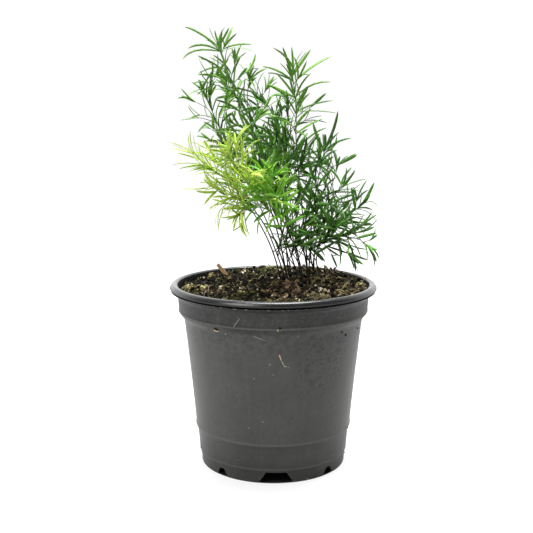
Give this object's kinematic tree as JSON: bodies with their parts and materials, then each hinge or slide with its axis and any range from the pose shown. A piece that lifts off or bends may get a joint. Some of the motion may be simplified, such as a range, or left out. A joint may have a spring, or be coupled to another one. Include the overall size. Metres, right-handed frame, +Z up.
{
  "type": "potted asparagus fern",
  "caption": "Leafy fern-like houseplant: slim branching shoots with narrow pointed leaves, growing from peaty soil in a tapered round nursery pot with a rolled lip.",
  "frame": {"origin": "centre of the pot's foot ring, on the floor that it stands on", "axes": "+Z up along the pot's axis, -Y towards the viewer of the picture, +X to the viewer's right"},
  "size_m": [0.165, 0.165, 0.3449],
  "materials": {
    "pot_plastic": "satin",
    "soil_mix": "matte",
    "leaf_green": "satin",
    "leaf_yellow": "satin",
    "splinter_wood": "matte",
    "perlite": "matte"
  },
  "bodies": {
    "root": {"pot": "pot_plastic", "soil": "soil_mix", "stem_01": "leaf_green", "stem_02": "leaf_green", "stem_03": "leaf_yellow", "stem_04": "leaf_yellow", "stem_05": "leaf_green", "stem_06": "leaf_green", "stem_07": "leaf_green", "stem_08": "leaf_green", "stem_09": "leaf_green", "stem_10": "leaf_green", "stem_11": "leaf_green", "stem_12": "leaf_green", "stem_13": "leaf_green", "stem_14": "leaf_green", "stem_15": "leaf_green", "stem_16": "leaf_green", "wood_splinter": "splinter_wood", "perlite_1": "perlite", "perlite_2": "perlite", "perlite_3": "perlite", "perlite_4": "perlite", "perlite_5": "perlite", "perlite_6": "perlite", "perlite_7": "perlite"}
  },
  "joints": []
}
